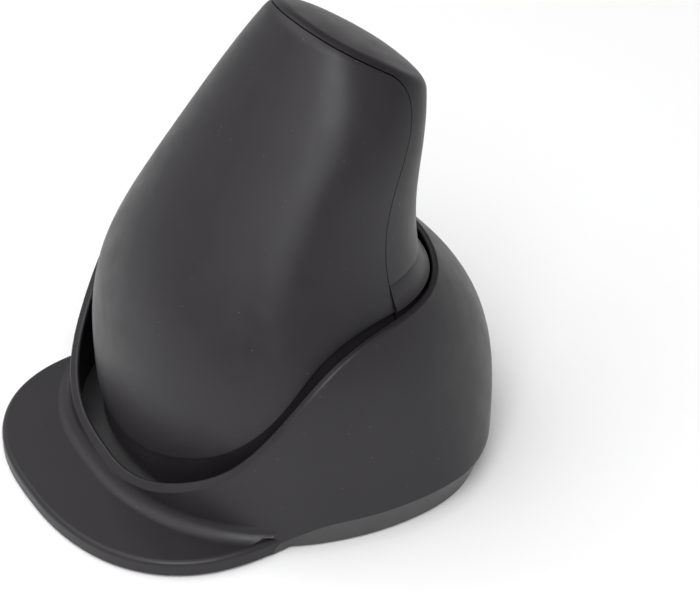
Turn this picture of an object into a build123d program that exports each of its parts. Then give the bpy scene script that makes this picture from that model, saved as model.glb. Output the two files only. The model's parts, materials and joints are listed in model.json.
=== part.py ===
from build123d import *
import os
from collections import namedtuple
from math import atan2, cos, degrees, hypot, pi, radians, sin

# A tall upright mouse that either hand holds like a joystick. Millimetres, +Z up,
# +Y forwards (away from the palm), origin on the desk under the middle of the body.

os.makedirs("parts", exist_ok=True)

# One level of an oval body: its height, its half width, how far back and forward it
# reaches, and the place along Y where it is widest.
Level = namedtuple("Level", "z half rear front widest")

# Shapes that show: the collar, its hand rest and the upright grip
collar_levels = [
    Level(0, 55.6, -42.0, 55.5, 20.5),
    Level(12, 54.3, -41.5, 59.2, 16.5),
    Level(24, 52.0, -39.7, 60.9, 10.5),
    Level(37, 49.3, -35.0, 56.2, 4.0),
    Level(50, 44.7, -29.0, 45.3, 0.5),
    Level(56, 42.0, -26.0, 38.0, 0.0),
]
collar_fullness_rear = 2.35
collar_fullness_front = 2.03
grip_levels = [
    Level(4, 45.0, -36.2, 38.5, 5.0),
    Level(28, 45.0, -35.2, 39.6, -1.5),
    Level(48, 40.5, -30.6, 39.4, -4.0),
    Level(64, 34.5, -22.5, 38.8, 0.5),
    Level(80, 30.5, -11.3, 40.8, 11.3),
    Level(96, 25.0, 0.8, 43.5, 19.5),
    Level(112, 14.5, 12.1, 45.3, 22.0),
    Level(119, 9.0, 16.5, 46.3, 23.5),
]
grip_fullness_rear = 2.11
grip_fullness_front = 2.79
outline_points = 20
rim_line = [
    (-44.0, 5.3),
    (-41.0, 7.6),
    (-36.9, 12.2),
    (-27.6, 21.2),
    (-14.6, 37.0),
    (-4.5, 46.0),
    (7.5, 49.9),
    (26.4, 49.4),
    (46.0, 49.6),
]
rim_radius = 0.6
rest_half = 46.4
rest_widest = -22.4
rest_reach = 38.6
rest_fullness = 2.39
rest_bottom = 0.8
rest_top = 4.5
rest_skin = 1.7
rest_border = 2.2
rest_edge_radius = 1.2
rest_blend = 3.5
cap_start = (16.7, 112.0)
cap_tilt = 23.7
cap_radius = 100.0
cap_crown_radius = 130.0
cap_edge_radius = 4.6
base_seam_line = [
    (-21.6, 0.8),
    (-19.4, 3.0),
    (-15.0, 5.3),
    (-10.6, 6.8),
    (0.0, 7.6),
    (20.0, 7.8),
    (66.0, 8.1),
]
base_bottom = 0.6
base_foot = Level(base_bottom, 53.0, -39.5, 55.5, 16.0)
shell_seam_top = [(-20.0, 133.9), (28.0, 102.6)]
shell_seam_side = [(31.2, 96.5), (29.6, 89.6), (23.6, 78.8), (20.0, 70.0), (18.3, 57.5), (18.9, 47.8)]
shell_seam_foot = [(19.2, 30.0), (19.6, 10.0), (20.0, -9.0)]
flare_side = 0.6
flare_front = 2.0
flare_shape = [(50.4, 1.0), (51.2, 0.6), (52.4, 0.28), (54.0, 0.05), (56.0, -0.3)]
seam_gap = 0.2

# Walls and clearances
collar_wall = 2.2
grip_wall = 2.2
grip_bottom = 6.0
base_floor = 2.0
base_wall = 2.0
base_lip = 1.6
base_lip_inset = 3.0
base_lip_rear = -8.0
base_lip_foot = 4.0
base_lip_rise = 0.6
base_skirt = 0.5
base_top_share = 0.75
foot_thickness = 0.8
fit_gap = 0.3
running_gap = 0.05

# Bosses and posts where base, collar and grip are screwed together
boss_top = 8.0
grip_boss_radius = 3.6
grip_rear_boss = (26.0, -16.0)
grip_front_boss = (26.0, 26.0)
collar_boss_radius = 2.6
collar_side_boss = (48.8, 8.0)
collar_nose_boss = (21.0, 44.0)
post_height = 12.0
post_root = 0.5
rib_thickness = 1.6
side_rib_splay = 1.1
nose_rib_reach = 12.0
rear_rib_splay = 1.15
rear_rib_reach = 16.0
front_rib_reach = 14.0

# Case screws and the smaller board screws
screw_shaft = 1.1
screw_head = 2.0
screw_head_height = 1.6
screw_reach = 9.0
screw_clearance = 0.2
small_shaft = 0.8
small_head = 1.6
small_head_height = 1.0
small_length = 4.2
pilot_play = 0.05
pilot_room = 0.5
screw_cross = (2.2, 0.6)

# Upright frame and the board that carries the buttons
frame_back_y = 20.0
frame_thickness = 2.5
frame_half = 21.0
frame_top = 91.0
frame_flange_depth = 5.0
frame_flange_top = 86.0
frame_foot_reach = 5.0
frame_gusset_height = 6.0
frame_corner = 5.0
frame_cable_half = 9.0
frame_cable_top = 14.0
frame_wheel_half = 6.0
board_thickness = 1.6
board_standoff = 1.6
board_standoff_radius = 2.2
board_half = 17.0
board_bottom = 54.0
board_top = 88.0
board_fixings = [(13.0, 57.5), (13.0, 85.0)]
board_wheel_half = 8.4

# Two finger buttons, one above and one below the wheel
field_half = 18.0
field_bottom = 52.6
field_top = 89.4
field_radius = 6.0
button_gap = 0.4
split_gap = 0.8
upper_axis = (35.6, 91.5)
lower_axis = (33.3, 50.5)
arm_x = 11.0
arm_width = 2.4
arm_eye_radius = 2.4
arm_root_start = 3.7
arm_root_end = 12.5
pin_radius = 1.2
ear_x = 14.2
ear_width = 2.4
switch_from_axis = 10.0
switch_length = 12.8
switch_width = 5.8
switch_depth = 6.5
plunger_radius = 0.9
plunger_reach = 0.9
plunger_hidden = 0.7
plunger_bore_depth = 1.3
press_post_radius = 1.8
contact_gap = 0.1

# Scroll wheel turning about an upright axle in a carrier that slides when it is clicked
wheel_y = 32.7
wheel_radius = 10.0
wheel_width = 6.5
hub_radius = 7.8
hub_width = 6.0
hub_rim = 0.9
hub_web = 2.4
hub_boss_radius = 3.2
hub_boss_length = 8.2
axle_radius = 1.5
tread_count = 24
tread_depth = 0.5
wheel_edge_radius = 1.0
slot_half = 9.7
slot_side_gap = 0.75
slot_radius = 1.5
encoder_hole_radius = 0.9
encoder_hole_circle = 5.6
encoder_hole_count = 10
encoder_block = 2.8
encoder_proud = 0.4
carrier_rear_y = 30.7
carrier_depth = 4.0
carrier_inner = (22.4, 8.5)
carrier_outer = (26.4, 13.3)
tongue_reach = 1.6
tongue_height = 3.0
tongue_depth = 2.2
tongue_play = 0.1
bracket_outer = (34.0, 14.0)
bracket_inner = (28.4, 11.0)
bracket_plate = 1.3
guide_height = 7.2
guide_front_y = 33.7
guide_lip = 0.8
peg_radius = 0.7
peg_at = (15.6, 6.1)
click_x = 12.2
click_size = 3.4
click_depth = 3.2
click_plunger_radius = 1.2
click_plunger_hidden = 0.5
click_bore_depth = 1.3

# Main board, sensor and cell in the base
main_board_half = 24.0
main_board_rear = -22.5
main_board_front = 19.0
main_board_bottom = 6.6
main_board_notch = 4.2
main_board_standoff = 2.4
main_board_fixings = [(17.0, -19.0), (17.0, 14.0)]
sensor_y = -4.0
sensor_size = (10.0, 12.0)
lens_size = (15.0, 19.0)
lens_plate = 1.2
lens_dome = 3.2
lens_depth = 1.0
lens_edge_radius = 0.7
sensor_window = (8.0, 11.0)
chip_size = 8.0
chip_height = 1.0
radio_x = 1.0
radio_edge = 1.0
radio_size = (12.0, 14.0, 1.8)
cell_size = (34.0, 8.0, 50.0)
cell_bottom = 20.0
cell_corner = 2.5
cell_wire_radius = 0.55
cell_wire_x = 0.9
plug_size = (5.0, 3.5, 3.0)
plug_at = (-10.3, 12.2)
ribbon_width = 8.0
ribbon_thickness = 0.35
ribbon_y = 26.8
ribbon_z = 9.2
ribbon_bend = 3.0
ribbon_clear = 1.5
ribbon_overlap = 0.2
ribbon_plug = 11.0
lower_plug_size = (4.0, 2.0)
upper_plug_size = (2.0, 3.0)

# Charging port in the nose and its small board
port_width = 8.9
port_height = 3.2
port_depth = 7.3
port_front_y = 58.9
port_wall = 0.3
port_tongue = (6.7, 0.7)
charge_board_half = 9.5
charge_board_rear = 42.5
charge_board_front = 55.0
charge_board_bottom = 10.6
charge_board_thickness = 1.2
charge_post = (6.5, 45.5)
charge_post_radius = 2.2
lead_half = 2.0
lead_thickness = 1.0
lead_z = 3.9
lead_rear_y = 17.5
lead_front_y = 48.0
lead_bend = 1.2

# Controls on the underside
power_at = (19.0, -4.0)
power_body = (9.0, 4.4)
power_knob = (3.6, 3.2)
power_flange = (13.0, 5.6)
power_nub = (1.8, 1.2)
power_body_height = 2.7
power_groove_depth = 1.2
power_nub_reach = 0.8
power_travel = 4.0
pairing_at = (-19.0, -4.0)
pairing_radius = 2.4
pairing_flange_radius = 3.6
pairing_body = (4.4, 4.4)
pairing_body_height = 2.0
pairing_nib_radius = 1.0
pairing_nib_height = 0.5
flange_thickness = 0.6
flange_lift = 0.1
underside_inset = 0.3

# Glide feet
foot_width = 7.0
foot_play = 0.15
rear_foot_radius = 30.0
rear_foot_angle = 70.0
front_foot_radius = 32.0
front_foot_centre_y = 14.0
front_foot_angle = 50.0
side_foot = (38.0, 6.0)
side_foot_length = 22.0

foot_recess = foot_thickness - base_bottom
floor_top = base_bottom + base_floor
rest_ceiling = rest_top - rest_skin
frame_front_y = frame_back_y + frame_thickness
board_back_y = frame_front_y + board_standoff
board_front_y = board_back_y + board_thickness
wheel_z = (field_bottom + field_top) / 2
switch_front_y = board_front_y + switch_depth
plunger_front_y = switch_front_y + plunger_reach
slot_width = wheel_width + 2 * slot_side_gap
main_board_top = main_board_bottom + board_thickness
charge_board_top = charge_board_bottom + charge_board_thickness
port_z = charge_board_top + port_height / 2
case_screw_tip = boss_top + screw_reach
head_top = base_bottom + foot_recess + screw_head_height


def oval_points(half, rear, front, widest, fullness_rear, fullness_front):
    """Points round an oval whose rear and front halves have their own fullness."""
    points = []
    for i in range(outline_points):
        t = 2 * pi * i / outline_points
        side, along = sin(t), -cos(t)
        reach, fullness = (front - widest, fullness_front) if along > 0 else (widest - rear, fullness_rear)
        x = half * abs(side) ** (2 / fullness) * (1 if side >= 0 else -1)
        y = widest + reach * abs(along) ** (2 / fullness) * (1 if along >= 0 else -1)
        points.append((x, y))
    return points


def oval_body(levels, fullness_rear, fullness_front, inset=0.0):
    """A closed body through oval levels, drawn in by inset."""
    with BuildPart() as body:
        for level in levels:
            with BuildSketch(Plane.XY.offset(level.z)):
                with BuildLine():
                    Spline(
                        *oval_points(
                            level.half - inset,
                            level.rear + inset,
                            level.front - inset,
                            level.widest,
                            fullness_rear,
                            fullness_front,
                        ),
                        periodic=True,
                    )
                make_face()
        loft()
    return body.part


def drawn_in(level, inset, z):
    """The outline of a level drawn in by inset, at height z."""
    return Level(z, level.half - inset, level.rear + inset, level.front - inset, level.widest)


def side_region(outline, low=-80.0, high=80.0):
    """A solid from x = low to x = high with an outline drawn in the side view."""
    with BuildPart() as region:
        with BuildSketch(Plane.YZ.offset(low)):
            with BuildLine():
                outline()
            make_face()
        extrude(amount=high - low)
    return region.part


def block(corner, opposite):
    """An upright box between two corners."""
    size = [abs(b - a) for a, b in zip(corner, opposite)]
    middle = tuple((a + b) / 2 for a, b in zip(corner, opposite))
    with BuildPart() as box:
        with Locations(middle):
            Box(*size)
    return box.part


def centred(place, size, bottom, top):
    """A box over a place in the plan view, between two heights."""
    x, y = place
    half_x, half_y = size[0] / 2, size[1] / 2
    return block((x - half_x, y - half_y, bottom), (x + half_x, y + half_y, top))


def upright(x, y, bottom, top, radius):
    """A round bar along Z."""
    with BuildPart() as rod:
        with BuildSketch(Plane.XY.offset(bottom)):
            with Locations((x, y)):
                Circle(radius)
        extrude(amount=top - bottom)
    return rod.part


def across(y, z, start, end, radius):
    """A round bar along X."""
    with BuildPart() as rod:
        with BuildSketch(Plane.YZ.offset(start)):
            with Locations((y, z)):
                Circle(radius)
        extrude(amount=end - start)
    return rod.part


def forward(x, z, start, end, radius):
    """A round bar along Y."""
    with BuildPart() as rod:
        with BuildSketch(Plane.XZ.offset(-start)):
            with Locations((x, z)):
                Circle(radius)
        extrude(amount=start - end)
    return rod.part


def rib(start, end, bottom, top):
    """An upright wall between two places in the plan view."""
    along, side = end[0] - start[0], end[1] - start[1]
    middle = ((start[0] + end[0]) / 2, (start[1] + end[1]) / 2)
    with BuildPart() as wall:
        with BuildSketch(Plane.XY.offset(bottom)):
            with Locations(middle):
                Rectangle(hypot(along, side), rib_thickness, rotation=degrees(atan2(side, along)))
        extrude(amount=top - bottom)
    return wall.part


def mirrored(place):
    """A place and its mirror image beyond the middle plane."""
    return [(-place[0], place[1]), place]


def trimmed(pieces, envelope):
    """Pieces joined and kept only inside an envelope."""
    with BuildPart() as joined:
        for piece in pieces:
            add(piece)
        add(envelope, mode=Mode.INTERSECT)
    return joined.part


def finish(part, name):
    """Label a finished piece and write it."""
    part.label = name
    export_step(part, f"parts/{name}.step")


# Bodies that the collar and the shells are cut from
collar_outer = oval_body(collar_levels, collar_fullness_rear, collar_fullness_front)
collar_inner = oval_body(collar_levels, collar_fullness_rear, collar_fullness_front, collar_wall)
collar_middle = oval_body(collar_levels, collar_fullness_rear, collar_fullness_front, collar_wall / 2)
grip_outer = oval_body(grip_levels, grip_fullness_rear, grip_fullness_front)
grip_inner = oval_body(grip_levels, grip_fullness_rear, grip_fullness_front, grip_wall)
grip_middle = oval_body(grip_levels, grip_fullness_rear, grip_fullness_front, grip_wall / 2)
grip_clear = oval_body(grip_levels, grip_fullness_rear, grip_fullness_front, grip_wall + fit_gap)

# Sloping cap: everything above a barrel shaped surface is cut away
tilt = radians(cap_tilt)
cap_plane = Plane(origin=(0, *cap_start), x_dir=(1, 0, 0), z_dir=(0, sin(tilt), cos(tilt)))


def above_cap(drop):
    """What lies above the cap's surface, lowered by drop."""
    plane = cap_plane.offset(-drop)
    with BuildPart() as cutter:
        with BuildSketch(plane.offset(-30)):
            Rectangle(110, 90)
        extrude(amount=60)
        with BuildSketch(Plane(origin=plane.origin, x_dir=plane.y_dir, z_dir=(1, 0, 0))):
            with BuildLine():
                reach = 0.55 * cap_radius
                edge = (cap_radius**2 - reach**2) ** 0.5 - cap_radius
                ThreePointArc((-reach, edge), (0, 0), (reach, edge))
                deep = -cap_crown_radius
                Polyline((reach, edge), (reach, deep), (-reach, deep), (-reach, edge))
            make_face()
        barrel_origin = plane.origin - plane.z_dir * cap_crown_radius
        revolve(axis=Axis(barrel_origin, plane.y_dir), mode=Mode.SUBTRACT)
    return cutter.part


with BuildPart() as grip_hollow:
    add(grip_inner)
    add(above_cap(grip_wall), mode=Mode.SUBTRACT)

with BuildPart() as grip_core:
    add(grip_middle)
    add(above_cap(grip_wall / 2), mode=Mode.SUBTRACT)

with BuildPart() as grip_shell:
    add(grip_outer)
    add(above_cap(0), mode=Mode.SUBTRACT)
    fillet(edges(Select.LAST), cap_edge_radius)
    add(grip_hollow.part, mode=Mode.SUBTRACT)
    add(block((-80, -80, -9), (80, 80, grip_bottom)), mode=Mode.SUBTRACT)


def rest_plate(bottom, top, inset=0.0, edge=0.0):
    """A plate in the hand rest's outline, drawn in by inset, its upper edge rounded."""
    front = rest_widest + rest_reach
    rear = rest_widest - rest_reach
    outline = drawn_in(Level(0, rest_half, rear, front, rest_widest), inset, bottom)
    with BuildPart() as plate:
        with BuildSketch(Plane.XY.offset(bottom)):
            with BuildLine():
                Spline(*oval_points(*outline[1:], rest_fullness, rest_fullness), periodic=True)
            make_face()
        extrude(amount=top - bottom)
        if edge > 0:
            fillet(edges().group_by(Axis.Z)[-1], edge)
    return plate.part


def below_seam(drop=0.0):
    """Side view of what lies under the line where collar and base part."""
    line = [(y, z - drop) for y, z in base_seam_line]
    Spline(*line)
    Polyline(line[-1], (line[-1][0], -9), (line[0][0], -9), line[0])


def above_rim():
    """Side view of what lies over the collar's rim."""
    Spline(*rim_line)
    Polyline(rim_line[-1], (75, rim_line[-1][1]), (75, 90), (-75, 90), (-75, rim_line[0][1]), rim_line[0])


def under_rim():
    """Side view of what lies under the line of the collar's rim."""
    Spline(*rim_line)
    Polyline(rim_line[-1], (75, rim_line[-1][1]), (75, -20), (-75, -20), (-75, rim_line[0][1]), rim_line[0])


def behind_seam(step=0.0):
    """Side view of the back shell's share of the grip, let out by step."""
    top = [(y + step, z + step) for y, z in shell_seam_top]
    side = [(y + step, z) for y, z in shell_seam_side + shell_seam_foot]
    Line(top[0], top[1])
    Spline(top[1], *side)
    Polyline(side[-1], (-90, side[-1][1]), (-90, top[0][1]), top[0])


# Level at which the collar's top meets the base
base_top = Level(*[a + (b - a) * base_top_share for a, b in zip(collar_levels[0], collar_levels[1])])
lip_top = base_top.z + base_lip_rise
rib_bottom = lip_top + fit_gap

# Collar, with the hand rest blended into its foot
with BuildPart() as rest_rounding:
    add(rest_plate(rest_bottom, rest_top + 1, -1.0))
    add(rest_plate(rest_bottom, rest_top, 0, rest_edge_radius), mode=Mode.SUBTRACT)
    add(rest_plate(rest_bottom, rest_top + 2, rest_edge_radius + 0.2), mode=Mode.SUBTRACT)
    add(collar_outer, mode=Mode.SUBTRACT)

with BuildPart() as collar:
    add(rest_plate(rest_bottom, rest_top))
    add(collar_outer)
    ledge = edges().filter_by(lambda edge: abs(edge.center().Z - rest_top) < 0.05)
    fillet([edge for edge in ledge if edge.length < 100], rest_blend)
    add(collar_inner, mode=Mode.SUBTRACT)
    add(rest_plate(rest_bottom - 1, rest_ceiling, rest_border), mode=Mode.SUBTRACT)
    add(side_region(below_seam), mode=Mode.SUBTRACT)
    add(block((-80, -80, -9), (80, 80, rest_bottom)), mode=Mode.SUBTRACT)
    add(side_region(above_rim), mode=Mode.SUBTRACT)
    fillet([edge for edge in edges(Select.LAST) if edge.length > 100], rim_radius)
    add(rest_rounding.part, mode=Mode.SUBTRACT)
    for place in mirrored(collar_side_boss) + mirrored(collar_nose_boss):
        sideways = place[1] < 20
        wall = (place[0] * side_rib_splay, place[1]) if sideways else (place[0], place[1] + nose_rib_reach)
        top = boss_top + post_height
        post = upright(*place, boss_top, top, collar_boss_radius)
        add(trimmed([post, rib(place, wall, rib_bottom, top)], collar_middle))
        add(upright(*place, 0, case_screw_tip + pilot_room, screw_shaft + pilot_play), mode=Mode.SUBTRACT)
    with BuildSketch(Plane.XZ.offset(-50)):
        with Locations((0, port_z)):
            cut_width, cut_height = port_width + 2 * fit_gap, port_height + 2 * fit_gap
            RectangleRounded(cut_width, cut_height, cut_height / 2 - 0.01)
    extrude(amount=-20, mode=Mode.SUBTRACT)
finish(collar.part, "collar")

# Base plate
base_levels = [base_foot, drawn_in(base_top, -base_skirt, base_top.z)]
cavity_levels = [
    drawn_in(base_foot, base_wall, floor_top),
    drawn_in(base_top, base_lip_inset + base_lip, base_top.z + 1),
]
lip_levels = [drawn_in(base_top, base_lip_inset, base_lip_foot), drawn_in(base_top, base_lip_inset, lip_top)]


def foot_arc(centre_y, radius, middle, spread, play, low, high):
    """A glide foot bent round a circle, with play added all round."""
    with BuildPart() as foot:
        with BuildSketch(Plane.XY.offset(low)):
            arc = CenterArc((0, centre_y), radius, middle - spread / 2, spread, mode=Mode.PRIVATE)
            SlotArc(arc, foot_width + 2 * play)
        extrude(amount=high - low)
    return foot.part


def side_foot_pair(play, low, high):
    """The two straight glide feet, with play added all round."""
    with BuildPart() as feet:
        with BuildSketch(Plane.XY.offset(low)):
            with Locations(*mirrored(side_foot)):
                SlotOverall(side_foot_length + 2 * play, foot_width + 2 * play, rotation=90)
        extrude(amount=high - low)
    return feet.part


def rear_foot(play, low, high):
    return foot_arc(rest_widest, rear_foot_radius, 270, rear_foot_angle, play, low, high)


def front_foot(play, low, high):
    return foot_arc(front_foot_centre_y, front_foot_radius, 90, front_foot_angle, play, low, high)


with BuildPart() as base_lip_ring:
    add(oval_body(lip_levels, collar_fullness_rear, collar_fullness_front))
    add(collar_inner, mode=Mode.INTERSECT)
    add(block((-80, -80, -9), (80, base_lip_rear, 80)), mode=Mode.SUBTRACT)
    for place in mirrored(collar_side_boss) + mirrored(collar_nose_boss):
        add(upright(*place, boss_top, lip_top + 1, collar_boss_radius + fit_gap), mode=Mode.SUBTRACT)

with BuildPart() as base_plate:
    add(oval_body(base_levels, collar_fullness_rear, collar_fullness_front))
    add(collar_outer, mode=Mode.INTERSECT)
    add(side_region(lambda: below_seam(seam_gap)), mode=Mode.INTERSECT)
    add(trimmed([rest_plate(base_bottom, rest_top)], side_region(lambda: below_seam(seam_gap))))
    add(rest_plate(base_bottom, rest_ceiling - 0.4, rest_border + fit_gap))
    add(base_lip_ring.part)
    add(oval_body(cavity_levels, collar_fullness_rear, collar_fullness_front), mode=Mode.SUBTRACT)
    for place in mirrored(grip_rear_boss) + mirrored(grip_front_boss):
        add(upright(*place, base_bottom + post_root, boss_top, grip_boss_radius))
    for place in mirrored(collar_side_boss) + mirrored(collar_nose_boss):
        add(upright(*place, base_bottom + post_root, boss_top, collar_boss_radius))
    for place in mirrored(main_board_fixings[0]) + mirrored(main_board_fixings[1]):
        add(upright(*place, base_bottom + post_root, main_board_bottom, main_board_standoff))
        pilot_bottom = main_board_top - small_length - pilot_room
        add(upright(*place, pilot_bottom, 20, small_shaft + pilot_play), mode=Mode.SUBTRACT)
    for place in mirrored(charge_post):
        add(upright(*place, base_bottom + post_root, charge_board_bottom, charge_post_radius))
        pilot_bottom = charge_board_top - small_length - pilot_room
        add(upright(*place, pilot_bottom, 20, small_shaft + pilot_play), mode=Mode.SUBTRACT)
    for corner in (grip_rear_boss, grip_front_boss, collar_side_boss, collar_nose_boss):
        for place in mirrored(corner):
            add(upright(*place, -1, head_top, screw_head + screw_clearance), mode=Mode.SUBTRACT)
            add(upright(*place, -1, 20, screw_shaft + screw_clearance), mode=Mode.SUBTRACT)
    with BuildSketch():
        with Locations((0, sensor_y)):
            RectangleRounded(*sensor_window, 1.5)
        with Locations(power_at):
            Rectangle(power_knob[0] + power_travel + 2 * fit_gap, power_knob[1] + 2 * fit_gap)
        with Locations(pairing_at):
            Circle(pairing_radius + fit_gap)
    extrude(amount=floor_top + 1, mode=Mode.SUBTRACT)
    add(rear_foot(foot_play, 0, foot_thickness), mode=Mode.SUBTRACT)
    add(front_foot(foot_play, 0, foot_thickness), mode=Mode.SUBTRACT)
    add(side_foot_pair(foot_play, 0, foot_thickness), mode=Mode.SUBTRACT)
finish(base_plate.part, "base_plate")
finish(rear_foot(0, 0, foot_thickness), "rear_glide_foot")
finish(front_foot(0, 0, foot_thickness), "front_glide_foot")
finish(side_foot_pair(0, 0, foot_thickness), "side_glide_feet")

# Back shell under the palm, its wall drawn in below the collar's rim
with BuildPart() as foot_step:
    add(side_region(under_rim))
    add(grip_middle, mode=Mode.SUBTRACT)

with BuildPart() as back_shell:
    add(grip_shell.part)
    add(side_region(behind_seam), mode=Mode.INTERSECT)
    add(foot_step.part, mode=Mode.SUBTRACT)
    for place in mirrored(grip_rear_boss):
        top = boss_top + post_height
        wall = (place[0] * rear_rib_splay, place[1] - rear_rib_reach)
        post = upright(*place, boss_top, top, grip_boss_radius)
        add(trimmed([post, rib(place, wall, boss_top, top)], grip_core.part))
        add(upright(*place, 0, case_screw_tip + pilot_room, screw_shaft + pilot_play), mode=Mode.SUBTRACT)
finish(back_shell.part, "back_shell")

# Front shell with the opening for the buttons and the ears they hang in
buttons = {"upper": (upper_axis, 1), "lower": (lower_axis, -1)}
frame_foot_top = boss_top + frame_thickness


def field(inset=0.0):
    """Front view of the buttons' opening, drawn in by inset."""
    with Locations((0, wheel_z)):
        RectangleRounded(2 * (field_half - inset), field_top - field_bottom - 2 * inset, field_radius - inset)


def ears(axis, way):
    """The two ears beside a button's arms."""
    y, z = axis
    pieces = []
    for side in (-1, 1):
        near, far = side * (ear_x - ear_width / 2), side * (ear_x + ear_width / 2)
        pieces.append(block((near, y - arm_eye_radius, z - way * 1.8), (far, 50, z + way * 2.5)))
    return trimmed(pieces, grip_core.part)


def grip_level(z):
    """The grip's outline at a height between two of its levels."""
    low = max((level for level in grip_levels if level.z <= z), key=lambda level: level.z)
    high = min((level for level in grip_levels if level.z > z), key=lambda level: level.z)
    share = (z - low.z) / (high.z - low.z)
    return Level(*[a + (b - a) * share for a, b in zip(low, high)])


# Foot of the front shell, turned outwards just above the collar's rim
flare_levels = []
for z, share in flare_shape:
    at = grip_level(z)
    half, front = at.half + share * flare_side, at.front + share * flare_front
    flare_levels.append(Level(z, half, at.rear, front, at.widest))

with BuildPart() as flare:
    add(oval_body(flare_levels, grip_fullness_rear, grip_fullness_front))
    add(grip_hollow.part, mode=Mode.SUBTRACT)

with BuildPart() as front_shell:
    add(grip_shell.part)
    add(flare.part)
    add(side_region(lambda: behind_seam(seam_gap)), mode=Mode.SUBTRACT)
    with BuildSketch(Plane.XZ.offset(-frame_back_y)):
        field()
    extrude(amount=-40, mode=Mode.SUBTRACT)
    for axis, way in buttons.values():
        add(ears(axis, way))
        add(across(*axis, -20, 20, pin_radius + running_gap), mode=Mode.SUBTRACT)
    for place in mirrored(grip_front_boss):
        top = frame_foot_top + post_height
        wall = (place[0], place[1] + front_rib_reach)
        post = upright(*place, frame_foot_top, top, grip_boss_radius)
        add(trimmed([post, rib(place, wall, frame_foot_top, top)], grip_core.part))
        add(upright(*place, 0, case_screw_tip + pilot_room, screw_shaft + pilot_play), mode=Mode.SUBTRACT)
finish(front_shell.part, "front_shell")


# Finger buttons
def arm_outline(axis, way):
    """Side view of a button's arm, from its eye to its root behind the button."""
    y, z = axis
    eye = arm_eye_radius
    Polyline(
        (y - eye, z),
        (y - eye + 0.2, z - way * 0.6 * arm_root_end),
        (y + 1.2, z - way * arm_root_end),
        (y + 14, z - way * arm_root_end),
        (y + 14, z - way * arm_root_start),
        (y + eye, z - way * arm_root_start),
        (y + eye, z),
        (y - eye, z),
    )


def button(axis, way):
    """One finger button: its share of the shell, two arms with pins, and a press post."""
    y, z = axis
    inner, outer = arm_x - arm_width / 2, ear_x + ear_width / 2
    arms = []
    for side in (-1, 1):
        low, high = sorted((side * inner, side * (arm_x + arm_width / 2)))
        arms.append(side_region(lambda: arm_outline(axis, way), low, high))
        arms.append(across(y, z, low, high, arm_eye_radius))
    press = forward(0, z - way * switch_from_axis, plunger_front_y + contact_gap, 50, press_post_radius)
    with BuildPart() as whole:
        with BuildSketch(Plane.XZ.offset(-frame_back_y)):
            field(button_gap)
            with Locations((0, wheel_z + way * (50 + split_gap / 2))):
                Rectangle(100, 100, mode=Mode.INTERSECT)
            with Locations((0, wheel_z)):
                RectangleRounded(2 * slot_half, slot_width, slot_radius, mode=Mode.SUBTRACT)
        extrude(amount=-40)
        add(grip_shell.part, mode=Mode.INTERSECT)
        add(trimmed(arms + [press], grip_core.part))
        for side in (-1, 1):
            low, high = sorted((side * inner, side * outer))
            add(across(y, z, low, high, pin_radius))
    return whole.part


def switch(axis, way):
    """A micro switch on the board behind a button, bored for its plunger."""
    z = axis[1] - way * switch_from_axis
    with BuildPart() as body:
        add(
            block(
                (-switch_length / 2, board_front_y, z - switch_width / 2),
                (switch_length / 2, switch_front_y, z + switch_width / 2),
            )
        )
        fillet(edges().filter_by(Axis.Y), 0.4)
        bore_start = switch_front_y - plunger_bore_depth
        add(forward(0, z, bore_start, 50, plunger_radius + running_gap), mode=Mode.SUBTRACT)
    return body.part


for name, (axis, way) in buttons.items():
    finish(button(axis, way), f"{name}_button")
    finish(switch(axis, way), f"{name}_switch")
    plunger_z = axis[1] - way * switch_from_axis
    plunger = forward(0, plunger_z, switch_front_y - plunger_hidden, plunger_front_y, plunger_radius)
    finish(plunger, f"{name}_switch_plunger")

# Scroll wheel
with BuildPart() as wheel_tyre:
    with BuildSketch(Plane.XY.offset(wheel_z - wheel_width / 2)):
        with Locations((0, wheel_y)):
            Circle(wheel_radius)
            Circle(hub_radius, mode=Mode.SUBTRACT)
    extrude(amount=wheel_width)
    fillet(edges().filter_by(GeomType.CIRCLE).sort_by(SortBy.RADIUS)[-2:], wheel_edge_radius)
    with Locations((0, wheel_y, wheel_z)):
        with PolarLocations(wheel_radius, tread_count):
            Cylinder(tread_depth, wheel_width + 2, mode=Mode.SUBTRACT)
finish(wheel_tyre.part, "wheel_tyre")

axle_bore = axle_radius + running_gap
with BuildPart() as wheel_hub:
    with BuildSketch(Plane(origin=(0, wheel_y, wheel_z), x_dir=(1, 0, 0), z_dir=(0, -1, 0))):
        with Locations(((axle_bore + hub_radius) / 2, 0)):
            Rectangle(hub_radius - axle_bore, hub_web)
        with Locations((hub_radius - hub_rim / 2, 0)):
            Rectangle(hub_rim, hub_width)
        with Locations(((axle_bore + hub_boss_radius) / 2, 0)):
            Rectangle(hub_boss_radius - axle_bore, hub_boss_length)
    revolve(axis=Axis((0, wheel_y, wheel_z), (0, 0, 1)))
    with Locations((0, wheel_y, wheel_z)):
        with PolarLocations(encoder_hole_circle, encoder_hole_count):
            Cylinder(encoder_hole_radius, hub_web + 1, mode=Mode.SUBTRACT)
finish(wheel_hub.part, "wheel_hub")

carrier_half_height = carrier_outer[1] / 2
axle = upright(0, wheel_y, wheel_z - carrier_half_height, wheel_z + carrier_half_height, axle_radius)
finish(axle, "wheel_axle")


def encoder(side):
    """The emitter or the receiver, set into one bar of the carrier."""
    x, half = encoder_hole_circle, encoder_block / 2
    face = wheel_z + side * (carrier_inner[1] / 2 - encoder_proud)
    back = wheel_z + side * carrier_half_height
    return block((x - half, wheel_y - half, face), (x + half, wheel_y + half, back))


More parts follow.
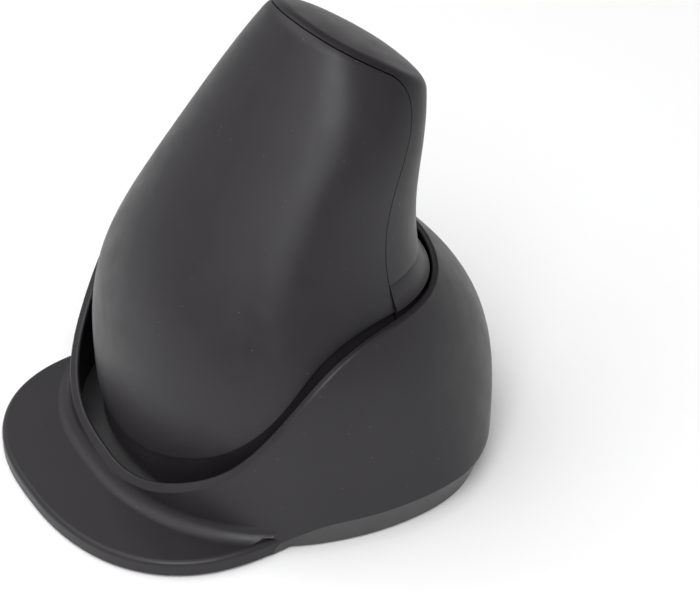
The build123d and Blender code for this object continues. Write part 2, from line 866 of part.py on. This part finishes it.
with BuildPart() as wheel_carrier:
    with BuildSketch(Plane.XZ.offset(-carrier_rear_y)):
        with Locations((0, wheel_z)):
            Rectangle(*carrier_outer)
            Rectangle(*carrier_inner, mode=Mode.SUBTRACT)
    extrude(amount=-carrier_depth)
    for side in (-1, 1):
        root, tip = side * (carrier_outer[0] / 2 - 0.5), side * (carrier_outer[0] / 2 + tongue_reach)
        low, high = wheel_z - tongue_height / 2, wheel_z + tongue_height / 2
        add(block((root, carrier_rear_y, low), (tip, carrier_rear_y + tongue_depth, high)))
        add(encoder(side), mode=Mode.SUBTRACT)
    add(axle, mode=Mode.SUBTRACT)
finish(wheel_carrier.part, "wheel_carrier")
finish(encoder(1), "encoder_emitter")
finish(encoder(-1), "encoder_receiver")

with BuildPart() as wheel_bracket:
    with BuildSketch(Plane.XZ.offset(-board_front_y)):
        with Locations((0, wheel_z)):
            Rectangle(*bracket_outer)
    extrude(amount=-bracket_plate)
    guide_inner = carrier_outer[0] / 2 + fit_gap
    slot_end = carrier_outer[0] / 2 + tongue_reach + fit_gap
    slot_high = tongue_height / 2 + tongue_play
    slot_front = carrier_rear_y + tongue_depth + tongue_play
    opening_front = board_front_y + click_depth + fit_gap
    half_width, half_height = bracket_inner[0] / 2, bracket_inner[1] / 2
    for side in (-1, 1):
        low, high = wheel_z - guide_height / 2, wheel_z + guide_height / 2
        outer = side * bracket_outer[0] / 2
        add(block((side * guide_inner, board_front_y, low), (outer, guide_front_y, high)))
    corner = (-half_width, board_front_y - 1, wheel_z - half_height)
    opening = block(corner, (half_width, opening_front, wheel_z + half_height))
    add(opening, mode=Mode.SUBTRACT)
    for side in (-1, 1):
        low, high = wheel_z - slot_high, wheel_z + slot_high
        lip_x = side * (slot_end - fit_gap - guide_lip)
        root = side * (guide_inner - 1)
        slot = block((root, opening_front - 0.5, low), (side * slot_end, slot_front, high))
        mouth = block((root, slot_front - 0.5, low), (lip_x, guide_front_y + 1, high))
        add(slot, mode=Mode.SUBTRACT)
        add(mouth, mode=Mode.SUBTRACT)
        for way in (-1, 1):
            peg_z = wheel_z + way * peg_at[1]
            add(forward(side * peg_at[0], peg_z, board_back_y + 0.3, board_front_y + 0.5, peg_radius))
finish(wheel_bracket.part, "wheel_bracket")

click_front_y = board_front_y + click_depth
with BuildPart() as click_switches:
    for x, z in mirrored((click_x, wheel_z)):
        half = click_size / 2
        add(block((x - half, board_front_y, z - half), (x + half, click_front_y, z + half)))
        bore_start = click_front_y - click_bore_depth
        add(forward(x, z, bore_start, 50, click_plunger_radius + running_gap), mode=Mode.SUBTRACT)
finish(click_switches.part, "wheel_click_switches")

with BuildPart() as click_plungers:
    for x, z in mirrored((click_x, wheel_z)):
        start, end = click_front_y - click_plunger_hidden, carrier_rear_y - contact_gap
        add(forward(x, z, start, end, click_plunger_radius))
finish(click_plungers.part, "wheel_click_plungers")

# Upright frame and button board
with BuildPart() as grip_frame:
    add(block((-frame_half, frame_back_y, boss_top), (frame_half, frame_front_y, frame_top)))
    fillet(edges().filter_by(Axis.Y).group_by(Axis.Z)[-1], frame_corner)
    for side in (-1, 1):
        inner = side * (frame_half - rib_thickness)
        corner = (inner, frame_back_y - frame_flange_depth, main_board_top + fit_gap)
        add(block(corner, (side * frame_half, frame_back_y + 1, frame_flange_top)))
        near, far = side * (frame_half - 2), side * (grip_front_boss[0] + grip_boss_radius + 0.4)
        foot_front = grip_front_boss[1] + frame_foot_reach
        foot = block((near, frame_back_y, boss_top), (far, foot_front, frame_foot_top))
        add(trimmed([foot], grip_clear))
        corner = (inner, frame_front_y - 1, boss_top)
        add(block(corner, (side * frame_half, foot_front, frame_foot_top + frame_gusset_height)))
    for place in mirrored(grip_front_boss):
        add(upright(*place, 0, frame_foot_top + 1, screw_shaft + screw_clearance), mode=Mode.SUBTRACT)
        add(upright(*place, frame_foot_top, frame_foot_top + 20, grip_boss_radius + 0.3), mode=Mode.SUBTRACT)
    cable_box = (frame_cable_half, frame_front_y + 1, frame_cable_top)
    add(block((-frame_cable_half, frame_back_y - 1, 0), cable_box), mode=Mode.SUBTRACT)
    with BuildSketch(Plane.XZ.offset(-(frame_back_y - 1))):
        with Locations((0, wheel_z)):
            RectangleRounded(2 * frame_wheel_half, slot_width + 1, slot_radius)
    extrude(amount=-(frame_thickness + 2), mode=Mode.SUBTRACT)
    for fixing in board_fixings:
        for x, z in mirrored(fixing):
            add(forward(x, z, frame_front_y - 0.5, board_back_y, board_standoff_radius))
            tip_y = board_front_y - small_length - pilot_room
            add(forward(x, z, tip_y, board_back_y + 1, small_shaft + pilot_play), mode=Mode.SUBTRACT)
finish(grip_frame.part, "grip_frame")

with BuildPart() as button_board:
    with BuildSketch(Plane.XZ.offset(-board_back_y)):
        with Locations((0, (board_bottom + board_top) / 2)):
            RectangleRounded(2 * board_half, board_top - board_bottom, 2)
        with Locations((0, wheel_z)):
            RectangleRounded(2 * board_wheel_half, slot_width + 0.2, slot_radius, mode=Mode.SUBTRACT)
        for fixing in board_fixings:
            with Locations(*mirrored(fixing)):
                Circle(small_shaft + screw_clearance, mode=Mode.SUBTRACT)
        for way in (-1, 1):
            with Locations(*mirrored((peg_at[0], wheel_z + way * peg_at[1]))):
                Circle(peg_radius + running_gap, mode=Mode.SUBTRACT)
    extrude(amount=-board_thickness)
finish(button_board.part, "button_board")

# Cell, main board and what sits on it
with BuildPart() as battery_pack:
    rear_y, cell_top = frame_back_y - cell_size[1], cell_bottom + cell_size[2]
    add(block((-cell_size[0] / 2, rear_y, cell_bottom), (cell_size[0] / 2, frame_back_y, cell_top)))
    fillet(edges().filter_by(Axis.Z), cell_corner)
finish(battery_pack.part, "battery_pack")

plug_top = main_board_top + plug_size[2]
battery_plug = centred(plug_at, plug_size, main_board_top, plug_top)
finish(battery_plug, "battery_connector")

with BuildPart() as battery_lead:
    for side in (-1, 1):
        x = plug_at[0] + side * cell_wire_x
        foot = (x, plug_at[1], plug_top)
        with BuildLine() as wire:
            Spline(foot, (x, frame_back_y - cell_size[1] / 2, cell_bottom), tangents=((0, 0, 1), (0, 0, 1)))
        with BuildSketch(Plane(origin=foot)):
            Circle(cell_wire_radius)
        sweep(path=wire.wires()[0])
finish(battery_lead.part, "battery_lead")

with BuildPart() as main_board:
    corner = (-main_board_half, main_board_rear, main_board_bottom)
    add(block(corner, (main_board_half, main_board_front, main_board_top)))
    fillet(edges().filter_by(Axis.Z), 2)
    for place in mirrored(grip_rear_boss):
        add(upright(*place, 0, 20, main_board_notch), mode=Mode.SUBTRACT)
    for fixing in main_board_fixings:
        for place in mirrored(fixing):
            add(upright(*place, 0, 20, small_shaft + screw_clearance), mode=Mode.SUBTRACT)
finish(main_board.part, "main_board")

chip_at = (0, sensor_y + chip_size)
controller_chip = centred(chip_at, (chip_size, chip_size), main_board_top, main_board_top + chip_height)
finish(controller_chip, "controller_chip")
radio_rear = main_board_rear + radio_edge
radio_far = (radio_x + radio_size[0], radio_rear + radio_size[1], main_board_top + radio_size[2])
radio_module = block((radio_x, radio_rear, main_board_top), radio_far)
finish(radio_module, "radio_module")

sensor_bottom = floor_top + lens_plate
optical_sensor = centred((0, sensor_y), sensor_size, sensor_bottom, main_board_bottom)
finish(optical_sensor, "optical_sensor")
with BuildPart() as sensor_lens:
    add(centred((0, sensor_y), lens_size, floor_top, sensor_bottom))
    add(upright(0, sensor_y, floor_top - lens_depth, floor_top + 0.5, lens_dome))
    fillet(edges().group_by(Axis.Z)[0], lens_edge_radius)
finish(sensor_lens.part, "sensor_lens")


# Ribbon from the main board up to the button board, with its two connectors
ribbon_start = frame_back_y - ribbon_clear
ribbon_end = board_bottom + ribbon_overlap


def ribbon_outline():
    """Side view of the ribbon, forwards from its lower plug and then upwards."""
    half, bend = ribbon_thickness / 2, ribbon_bend
    start, top = ribbon_start, ribbon_end
    low, high = ribbon_z - half, ribbon_z + half
    back, front = ribbon_y - half, ribbon_y + half
    Line((start, high), (start, low))
    Line((start, low), (front - bend, low))
    RadiusArc((front - bend, low), (front, low + bend), -bend)
    Line((front, low + bend), (front, top))
    Line((front, top), (back, top))
    Line((back, top), (back, low + bend))
    RadiusArc((back, low + bend), (front - bend, high), bend - ribbon_thickness)
    Line((front - bend, high), (start, high))


finish(side_region(ribbon_outline, -ribbon_width / 2, ribbon_width / 2), "ribbon_cable")
lower_corner = (-ribbon_plug / 2, ribbon_start - lower_plug_size[0], main_board_top)
lower_plug = block(lower_corner, (ribbon_plug / 2, ribbon_start, main_board_top + lower_plug_size[1]))
finish(lower_plug, "lower_ribbon_connector")
upper_corner = (-ribbon_plug / 2, board_front_y, ribbon_end)
upper_plug = block(
    upper_corner, (ribbon_plug / 2, board_front_y + upper_plug_size[0], ribbon_end + upper_plug_size[1])
)
finish(upper_plug, "upper_ribbon_connector")

# Charging port, its board and the lead back to the main board
with BuildPart() as charge_board:
    corner = (-charge_board_half, charge_board_rear, charge_board_bottom)
    add(block(corner, (charge_board_half, charge_board_front, charge_board_top)))
    fillet(edges().filter_by(Axis.Z), 1)
    for place in mirrored(charge_post):
        add(upright(*place, 0, 20, small_shaft + screw_clearance), mode=Mode.SUBTRACT)
finish(charge_board.part, "charge_board")

with BuildPart() as usb_port:
    port_rear_y = port_front_y - port_depth
    with BuildSketch(Plane.XZ.offset(-port_rear_y)):
        with Locations((0, port_z)):
            RectangleRounded(port_width, port_height, port_height / 2 - 0.05)
    extrude(amount=-port_depth)
    with BuildSketch(Plane.XZ.offset(-(port_rear_y + 1))):
        with Locations((0, port_z)):
            inner_height = port_height - 2 * port_wall
            RectangleRounded(port_width - 2 * port_wall, inner_height, inner_height / 2 - 0.05)
    extrude(amount=-port_depth, mode=Mode.SUBTRACT)
    tongue_x, tongue_z = port_tongue[0] / 2, port_tongue[1] / 2
    corner = (-tongue_x, port_rear_y + 0.5, port_z - tongue_z)
    add(block(corner, (tongue_x, port_front_y - 0.8, port_z + tongue_z)))
finish(usb_port.part, "usb_port")


def lead_outline():
    """Side view of the charging lead, down from one board and up to the other."""
    half = lead_thickness / 2
    corners = [
        (lead_rear_y - half, main_board_bottom),
        (lead_rear_y - half, lead_z - half),
        (lead_front_y + half, lead_z - half),
        (lead_front_y + half, charge_board_bottom),
        (lead_front_y - half, charge_board_bottom),
        (lead_front_y - half, lead_z + half),
        (lead_rear_y + half, lead_z + half),
        (lead_rear_y + half, main_board_bottom),
    ]
    FilletPolyline(*corners, corners[0], radius=lead_bend / 3)


finish(side_region(lead_outline, -lead_half, lead_half), "charge_lead")


# Power switch and pairing button, both reached from below
flange_bottom = floor_top + flange_lift
flange_top = flange_bottom + flange_thickness
stem_bottom = base_bottom + underside_inset
knob_at = (power_at[0] - power_travel / 2, power_at[1])
body_bottom = main_board_bottom - power_body_height
groove = (power_nub[0] + power_travel + 2 * fit_gap, power_nub[1] + 2 * fit_gap)
with BuildPart() as power_switch_body:
    add(centred(power_at, power_body, body_bottom, main_board_bottom))
    add(centred(power_at, groove, body_bottom - 1, body_bottom + power_groove_depth), mode=Mode.SUBTRACT)
finish(power_switch_body.part, "power_switch_body")

with BuildPart() as power_switch_knob:
    add(centred(knob_at, power_knob, stem_bottom, flange_bottom))
    add(centred(knob_at, power_flange, flange_bottom, flange_top))
    add(centred(knob_at, power_nub, flange_top, body_bottom + power_nub_reach))
finish(power_switch_knob.part, "power_switch_knob")

with BuildPart() as pairing_button:
    add(upright(*pairing_at, stem_bottom, flange_bottom, pairing_radius))
    add(upright(*pairing_at, flange_bottom, flange_top, pairing_flange_radius))
    add(upright(*pairing_at, flange_top, flange_top + pairing_nib_height, pairing_nib_radius))
finish(pairing_button.part, "pairing_button")
pairing_body_bottom = main_board_bottom - pairing_body_height
pairing_switch = centred(pairing_at, pairing_body, pairing_body_bottom, main_board_bottom)
finish(pairing_switch, "pairing_switch")

# Screws
with BuildPart() as case_screws:
    for corner in (grip_rear_boss, grip_front_boss, collar_side_boss, collar_nose_boss):
        for place in mirrored(corner):
            add(upright(*place, head_top - screw_head_height, head_top, screw_head))
            add(upright(*place, head_top, case_screw_tip, screw_shaft))
            slot_top = head_top - screw_head_height / 2
            add(centred(place, screw_cross, 0, slot_top), mode=Mode.SUBTRACT)
            add(centred(place, screw_cross[::-1], 0, slot_top), mode=Mode.SUBTRACT)
finish(case_screws.part, "case_screws")

with BuildPart() as board_screws:
    for fixing in board_fixings:
        for x, z in mirrored(fixing):
            add(forward(x, z, board_front_y - small_length, board_front_y, small_shaft))
            add(forward(x, z, board_front_y, board_front_y + small_head_height, small_head))
    flat_fixings = [(place, main_board_top) for place in main_board_fixings]
    flat_fixings.append((charge_post, charge_board_top))
    for fixing, top in flat_fixings:
        for place in mirrored(fixing):
            add(upright(*place, top - small_length, top, small_shaft))
            add(upright(*place, top, top + small_head_height, small_head))
finish(board_screws.part, "board_screws")
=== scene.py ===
import json
import math

import bpy
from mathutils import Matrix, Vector

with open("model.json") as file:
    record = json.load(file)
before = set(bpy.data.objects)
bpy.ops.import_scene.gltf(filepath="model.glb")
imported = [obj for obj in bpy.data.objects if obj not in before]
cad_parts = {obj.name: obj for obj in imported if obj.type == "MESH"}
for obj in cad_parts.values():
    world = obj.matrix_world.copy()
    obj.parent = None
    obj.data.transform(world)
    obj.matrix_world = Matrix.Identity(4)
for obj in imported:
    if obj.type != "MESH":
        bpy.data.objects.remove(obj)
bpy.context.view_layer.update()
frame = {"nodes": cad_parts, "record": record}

# Camera: where it stands, what it looks at, how near and far it sees, and its lens and sensor in millimetres
CAMERA_AT = Vector((0.41958, -0.23695, 0.37408))
CAMERA_TARGET = Vector((0.0, 0.02984, 0.02526))
CLIP_START, CLIP_END = 0.01, 20
LENS = 123.43
SENSOR_WIDTH = 36

# Light: soft lamps as (name, azimuth, elevation, watts), all one size and equally far from the mouse.
# Azimuth 0 is on the palm's side, at -Y, and 90 is at +X.
LAMP_TARGET = Vector((0.0, 0.0, 0.045))
LAMP_DISTANCE = 1.8
LAMP_SIZE = 1.3
LAMPS = [
    ("palm_side_high", 0, 62, 3.0),
    ("palm_side", 0, 38, 6.0),
    ("camera_side", 55, 52, 24.0),
    ("right_side", 105, 38, 2.5),
    ("left_side", 270, 40, 4.5),
    ("left_high", 296, 66, 7.0),
    ("palm_left", 315, 38, 4.0),
    ("front_high", 180, 70, 2.5),
]

# World: pale walls up to the first height and a dim ceiling above the second, as sines of the elevation
WALL_TOP, CEILING = 0.14, 0.28
WALL_LEVEL, CEILING_LEVEL = 0.6, 0.08

# Floor: half its width in metres, its colour and its roughness
FLOOR_REACH = 3.0
FLOOR_COLOUR = (0.94, 0.94, 0.94)
FLOOR_ROUGHNESS = 0.9

# Neighbouring faces that turn by less than this angle are shaded as one curved surface
SMOOTH_ANGLE = math.radians(32)

# Spans of noise that a material spreads over its whole range. The narrow one gives more contrast.
NARROW = (0.35, 0.65)
WIDE = (0.3, 0.7)

# Moulded plastic: metres across its mottling, its uneven sheen and its patches of dust, the sheen's
# spread in roughness, and the dust's dots, with the edges of patches and dots and how many a metre holds
MOTTLE_SIZE = 0.012
SHEEN_SIZE = 0.006
SHEEN_SPREAD = 0.04
DUST_PATCH_SIZE = 0.004
DUST_PATCH_EDGE = (0.58, 0.62)
DUST_DOT_EDGE = (0.035, 0.075)
DUST_DOTS_PER_METRE = 520
DUST_COLOUR = (0.3, 0.29, 0.28)

# Rubber: its roughness, metres across its mottling and its grain, the grain's depth, and its tones
RUBBER_ROUGHNESS = 0.8
RUBBER_MOTTLE_SIZE = 0.0015
RUBBER_GRAIN_SIZE = 0.0002
RUBBER_GRAIN_DEPTH = 0.00003
RUBBER_DARK, RUBBER_LIGHT = 0.7, 1.4

# Metal: metres across its brush marks and their depth, how they change its roughness, and their tone
BRUSH_SIZE = 0.0008
BRUSH_DEPTH = 0.000004
BRUSH_SMOOTHER, BRUSH_ROUGHER = 0.08, 0.1
BRUSH_DARK = 0.85

# Circuit board: its roughness, its tracks with their gaps, depth and tones, and its bare pads
BOARD_ROUGHNESS = 0.35
TRACKS_PER_METRE = 260
TRACK_GAP = 0.09
TRACK_DEPTH = 0.00003
TRACK_DARK, TRACK_GAP_LIGHT = 0.8, 1.9
PADS_PER_METRE = 330
PAD_EDGE = (0.16, 0.18)
PAD_COLOUR = (0.62, 0.55, 0.42)

# Clear plastic: its roughness, how much light it lets through, its refraction and its flow marks
CLEAR_ROUGHNESS = 0.08
CLEAR_TRANSMISSION = 0.9
CLEAR_REFRACTION = 1.49
FLOW_SIZE = 0.003
FLOW_DEPTH = 0.00002


# Materials by name, entered as they are made. A node takes the one that its slot in the record names.
looks = {}


class Surface:
    """A principled material with the textures that its makers below ask for."""

    def __init__(self, name, colour, roughness, metallic=0.0):
        self.material = looks[name] = bpy.data.materials.new(name)
        self.material.use_nodes = True
        self.nodes = self.material.node_tree.nodes
        self.links = self.material.node_tree.links
        self.shader = self.nodes["Principled BSDF"]
        self.place = self.nodes.new("ShaderNodeTexCoord").outputs["Object"]
        self.give("Base Color", colour)
        self.give("Roughness", roughness)
        self.give("Metallic", metallic)

    def give(self, socket, value, node=None):
        """Gives a socket of the shader, or of another node, a number, a colour or a node's output."""
        target = (node or self.shader).inputs[socket]
        if isinstance(value, bpy.types.NodeSocket):
            self.links.new(value, target)
        elif isinstance(value, (tuple, list)):
            target.default_value = (*value, 1)
        else:
            target.default_value = value

    def texture(self, kind, scale):
        """A texture of a kind over the piece's own place, with a scale in features per metre."""
        node = self.nodes.new(kind)
        self.give("Scale", scale, node)
        self.give("Vector", self.place, node)
        return node

    def noise(self, size, detail=2.0, density=None):
        """Noise whose features are about size metres across, or packed more densely along X, Y or Z."""
        node = self.texture("ShaderNodeTexNoise", 1 / size)
        self.give("Detail", detail, node)
        if density:
            mapping = self.nodes.new("ShaderNodeMapping")
            mapping.inputs["Scale"].default_value = density
            self.give("Vector", self.place, mapping)
            self.give("Vector", mapping.outputs["Vector"], node)
        return node.outputs["Fac"]

    def ranged(self, value, span, low=0, high=1):
        """A value carried from a span to the range from low to high, clamped."""
        node = self.nodes.new("ShaderNodeMapRange")
        self.give("Value", value, node)
        self.give("From Min", span[0], node)
        self.give("From Max", span[1], node)
        self.give("To Min", low, node)
        self.give("To Max", high, node)
        return node.outputs["Result"]

    def mix(self, factor, first, second):
        """A colour between two, by a factor."""
        node = self.nodes.new("ShaderNodeMix")
        node.data_type = "RGBA"
        self.give("Factor", factor, node)
        self.give("A", first, node)
        self.give("B", second, node)
        return node.outputs["Result"]

    def product(self, first, second):
        """Two values multiplied."""
        node = self.nodes.new("ShaderNodeMath")
        node.operation = "MULTIPLY"
        self.links.new(first, node.inputs[0])
        self.links.new(second, node.inputs[1])
        return node.outputs["Value"]

    def bump(self, height, depth):
        """Bumps of a depth in metres from a height."""
        node = self.nodes.new("ShaderNodeBump")
        self.give("Strength", 1, node)
        self.give("Distance", depth, node)
        self.give("Height", height, node)
        self.give("Normal", node.outputs["Normal"])


def toned(colour, amount):
    """A colour made darker or lighter by a factor, up to white."""
    return [min(1, c * amount) for c in colour]


def dusted(s, tone, amount):
    """A tone with sparse dots of dust over it, in patches."""
    dots = s.texture("ShaderNodeTexVoronoi", DUST_DOTS_PER_METRE)
    near = s.ranged(dots.outputs["Distance"], DUST_DOT_EDGE, 1, 0)
    sparse = s.ranged(s.noise(DUST_PATCH_SIZE, detail=1), DUST_PATCH_EDGE, 0, amount)
    return s.mix(s.product(near, sparse), tone, DUST_COLOUR)


def moulded(name, colour, roughness, grain=0.0003, depth=0.00001, mottle=0.1, dust=0.0, specular=0.5):
    """Moulded plastic: fine grain of a size and depth in metres, uneven sheen, and mottling and dust."""
    s = Surface(name, colour, roughness)
    s.give("Specular IOR Level", specular)
    mottling = s.ranged(s.noise(MOTTLE_SIZE, detail=3), NARROW)
    tone = s.mix(mottling, toned(colour, 1 - mottle), toned(colour, 1 + mottle))
    if dust:
        tone = dusted(s, tone, dust)
    s.give("Base Color", tone)
    sheen = s.ranged(s.noise(SHEEN_SIZE), WIDE, roughness - SHEEN_SPREAD, roughness + SHEEN_SPREAD)
    s.give("Roughness", sheen)
    s.bump(s.noise(grain), depth)


def rubber(name, colour):
    """Moulded rubber, dull, with a coarse grain."""
    s = Surface(name, colour, RUBBER_ROUGHNESS)
    mottling = s.ranged(s.noise(RUBBER_MOTTLE_SIZE, detail=3), WIDE)
    s.give("Base Color", s.mix(mottling, toned(colour, RUBBER_DARK), toned(colour, RUBBER_LIGHT)))
    s.bump(s.noise(RUBBER_GRAIN_SIZE), RUBBER_GRAIN_DEPTH)


def brushed(name, colour, roughness, density=(1, 1, 12)):
    """Metal with fine brush or turning marks, packed as densely along X, Y and Z as density says."""
    s = Surface(name, colour, roughness, metallic=1.0)
    marks = s.noise(BRUSH_SIZE, detail=4, density=density)
    s.give("Roughness", s.ranged(marks, WIDE, roughness - BRUSH_SMOOTHER, roughness + BRUSH_ROUGHER))
    s.give("Base Color", s.mix(s.ranged(marks, WIDE), toned(colour, BRUSH_DARK), colour))
    s.bump(marks, BRUSH_DEPTH)


def circuit(name, colour):
    """Solder resist over copper tracks, with bare pads."""
    s = Surface(name, colour, BOARD_ROUGHNESS)
    tracks = s.texture("ShaderNodeTexBrick", TRACKS_PER_METRE)
    s.give("Mortar Size", TRACK_GAP, tracks)
    s.give("Color1", colour, tracks)
    s.give("Color2", toned(colour, TRACK_DARK), tracks)
    s.give("Mortar", toned(colour, TRACK_GAP_LIGHT), tracks)
    pads = s.texture("ShaderNodeTexVoronoi", PADS_PER_METRE)
    pad = s.ranged(pads.outputs["Distance"], PAD_EDGE, 1, 0)
    s.give("Base Color", s.mix(pad, tracks.outputs["Color"], PAD_COLOUR))
    s.bump(tracks.outputs["Fac"], TRACK_DEPTH)


def clear(name, colour):
    """Clear moulded plastic with faint flow marks."""
    s = Surface(name, colour, CLEAR_ROUGHNESS)
    s.give("Transmission Weight", CLEAR_TRANSMISSION)
    s.give("IOR", CLEAR_REFRACTION)
    s.bump(s.noise(FLOW_SIZE), FLOW_DEPTH)


# One material per slot of the record
moulded(
    "soft_black", (0.0155, 0.0135, 0.0162), 0.42,
    grain=0.00028, depth=0.000012, mottle=0.06, dust=0.5, specular=0.42,
)
moulded("base_black", (0.046, 0.045, 0.047), 0.42, mottle=0.05)
moulded("inner_plastic", (0.07, 0.07, 0.075), 0.5, grain=0.0004, depth=0.00002)
moulded("glide", (0.03, 0.03, 0.032), 0.3, grain=0.0006)
moulded("switch_body", (0.035, 0.035, 0.037), 0.4, depth=0.00002)
moulded("switch_plunger", (0.72, 0.71, 0.66), 0.4, grain=0.0005, mottle=0.04)
moulded("chip_black", (0.02, 0.02, 0.022), 0.6, grain=0.00015, depth=0.00002)
moulded("connector", (0.66, 0.64, 0.57), 0.45, grain=0.0005, mottle=0.04)
moulded("ribbon", (0.68, 0.68, 0.65), 0.35, grain=0.0008, depth=0.00002, mottle=0.03)
moulded("wire", (0.30, 0.02, 0.02), 0.4, grain=0.0006)
moulded("encoder_dark", (0.02, 0.012, 0.02), 0.15, grain=0.001, depth=0.000005)
rubber("tread_rubber", (0.02, 0.02, 0.021))
brushed("steel", (0.55, 0.55, 0.56), 0.35)
brushed("port_steel", (0.62, 0.62, 0.63), 0.25, density=(1, 8, 1))
brushed("radio_can", (0.62, 0.62, 0.62), 0.3, density=(10, 1, 1))
brushed("cell_foil", (0.6, 0.6, 0.61), 0.4, density=(1, 1, 3))
circuit("board_green", (0.015, 0.10, 0.05))
clear("lens_clear", (0.9, 0.93, 0.95))

slot_of = {part["node"]: part["material_slot"] for part in frame["record"]["subparts"]}

for name, node in frame["nodes"].items():
    node.data.materials.clear()
    node.data.materials.append(looks[slot_of[name]])
    node.data.shade_smooth()
    node.data.set_sharp_from_angle(angle=SMOOTH_ANGLE)


# Studio
scene = bpy.context.scene


def face(thing, direction):
    """Turns a lamp or camera so that it looks along a direction."""
    thing.rotation_euler = direction.to_track_quat("-Z", "Y").to_euler()


def soft_lamp(name, azimuth, elevation, watts):
    """A square soft lamp in the direction of two angles in degrees, facing the mouse."""
    turn, lift = math.radians(azimuth), math.radians(elevation)
    towards = Vector((math.sin(turn) * math.cos(lift), -math.cos(turn) * math.cos(lift), math.sin(lift)))
    light = bpy.data.lights.new(name, "AREA")
    light.size = LAMP_SIZE
    light.energy = watts
    lamp = bpy.data.objects.new(name, light)
    lamp.location = LAMP_TARGET + towards * LAMP_DISTANCE
    face(lamp, -towards)
    scene.collection.objects.link(lamp)


def room():
    """A world with light from all round below, which falls off smoothly to a dim ceiling."""
    world = bpy.data.worlds.new("studio")
    world.use_nodes = True
    nodes, links = world.node_tree.nodes, world.node_tree.links
    sky = nodes["Background"]
    sky.inputs["Color"].default_value = (1, 1, 1, 1)
    direction = nodes.new("ShaderNodeTexCoord")
    height = nodes.new("ShaderNodeSeparateXYZ")
    level = nodes.new("ShaderNodeMapRange")
    level.interpolation_type = "SMOOTHSTEP"
    level.inputs["From Min"].default_value = WALL_TOP
    level.inputs["From Max"].default_value = CEILING
    level.inputs["To Min"].default_value = WALL_LEVEL
    level.inputs["To Max"].default_value = CEILING_LEVEL
    links.new(direction.outputs["Generated"], height.inputs["Vector"])
    links.new(height.outputs["Z"], level.inputs["Value"])
    links.new(level.outputs["Result"], sky.inputs["Strength"])
    return world


def plain_floor():
    """A plain pale square under the mouse."""
    mesh = bpy.data.meshes.new("floor")
    reach = FLOOR_REACH
    corners = [(-reach, -reach, 0), (reach, -reach, 0), (reach, reach, 0), (-reach, reach, 0)]
    mesh.from_pydata(corners, [], [(0, 1, 2, 3)])
    mesh.materials.append(Surface("floor_look", FLOOR_COLOUR, FLOOR_ROUGHNESS).material)
    floor = bpy.data.objects.new("floor", mesh)
    scene.collection.objects.link(floor)
    return floor


def photo_camera():
    """A camera that sees the mouse from where the photograph was taken, as far as that could be fitted."""
    lens = bpy.data.cameras.new("camera")
    lens.lens = LENS
    lens.sensor_width = SENSOR_WIDTH
    lens.clip_start = CLIP_START
    lens.clip_end = CLIP_END
    camera = bpy.data.objects.new("camera", lens)
    camera.location = CAMERA_AT
    face(camera, CAMERA_TARGET - CAMERA_AT)
    scene.collection.objects.link(camera)
    return camera


for lamp in LAMPS:
    soft_lamp(*lamp)
floor = plain_floor()
scene.world = room()
scene.camera = photo_camera()
scene.view_settings.view_transform = "Standard"
